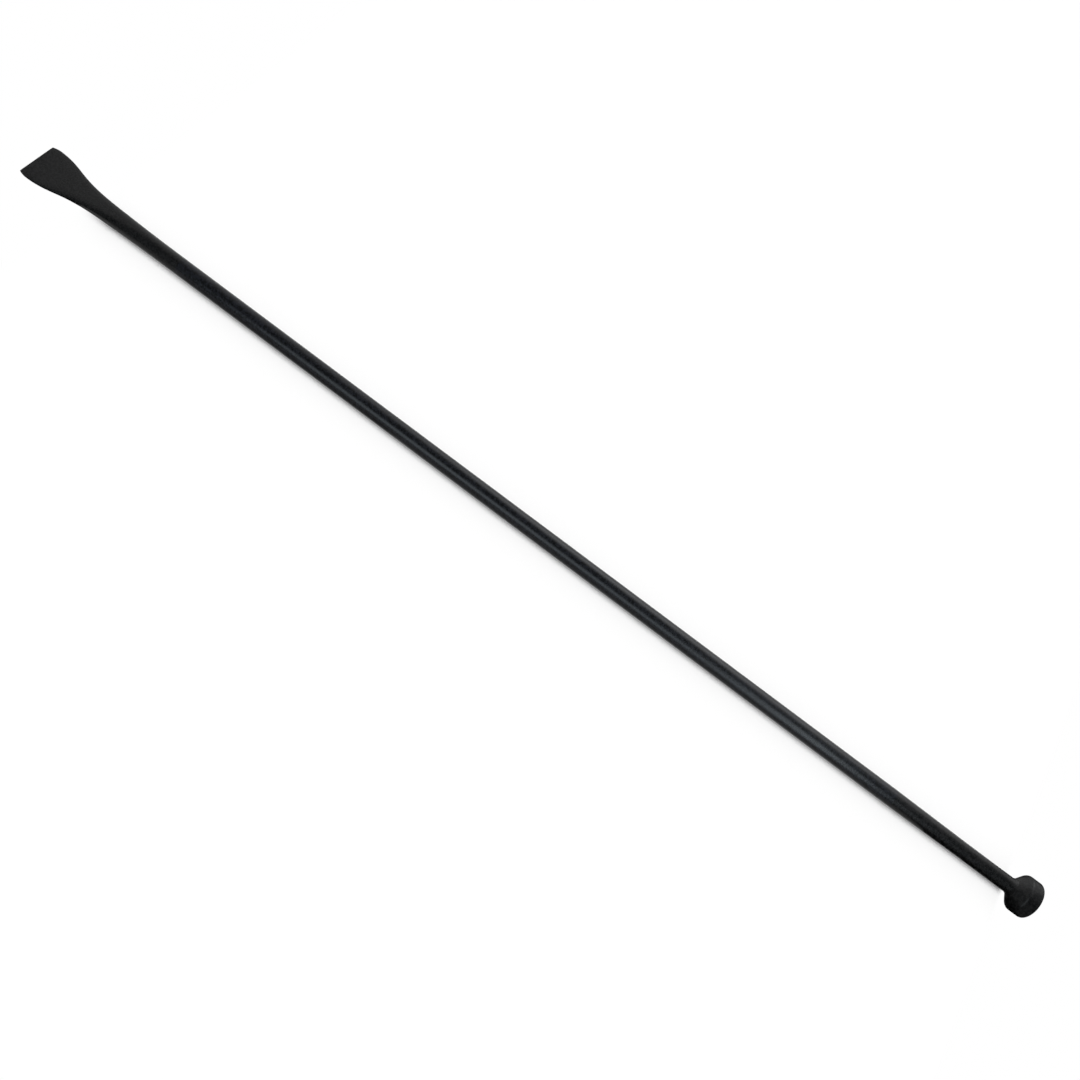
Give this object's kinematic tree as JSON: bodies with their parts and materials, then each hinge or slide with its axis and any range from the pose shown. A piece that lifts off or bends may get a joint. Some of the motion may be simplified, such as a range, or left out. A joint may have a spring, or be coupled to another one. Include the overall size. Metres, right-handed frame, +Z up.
{
  "type": "digging bar",
  "caption": "Long round steel bar, painted black, with a flared chisel blade at one end for breaking and prying ground and a round tamper head at the other for packing it.",
  "frame": {"origin": "on the bar's axis, half way between the cutting edge and the tamping face", "axes": "+X along the bar towards the tamping face, +Y across the blade's width, +Z up and square to the flat of the blade"},
  "size_m": [1.753, 0.0672, 0.0575],
  "materials": {
    "black_paint": "satin black enamel over forged and rolled steel"
  },
  "bodies": {
    "root": {"shaft": "black_paint", "chisel_blade": "black_paint", "blade_weld": "black_paint", "tamper_head": "black_paint", "head_fillet_weld": "black_paint", "head_plug_weld": "black_paint"}
  },
  "joints": []
}
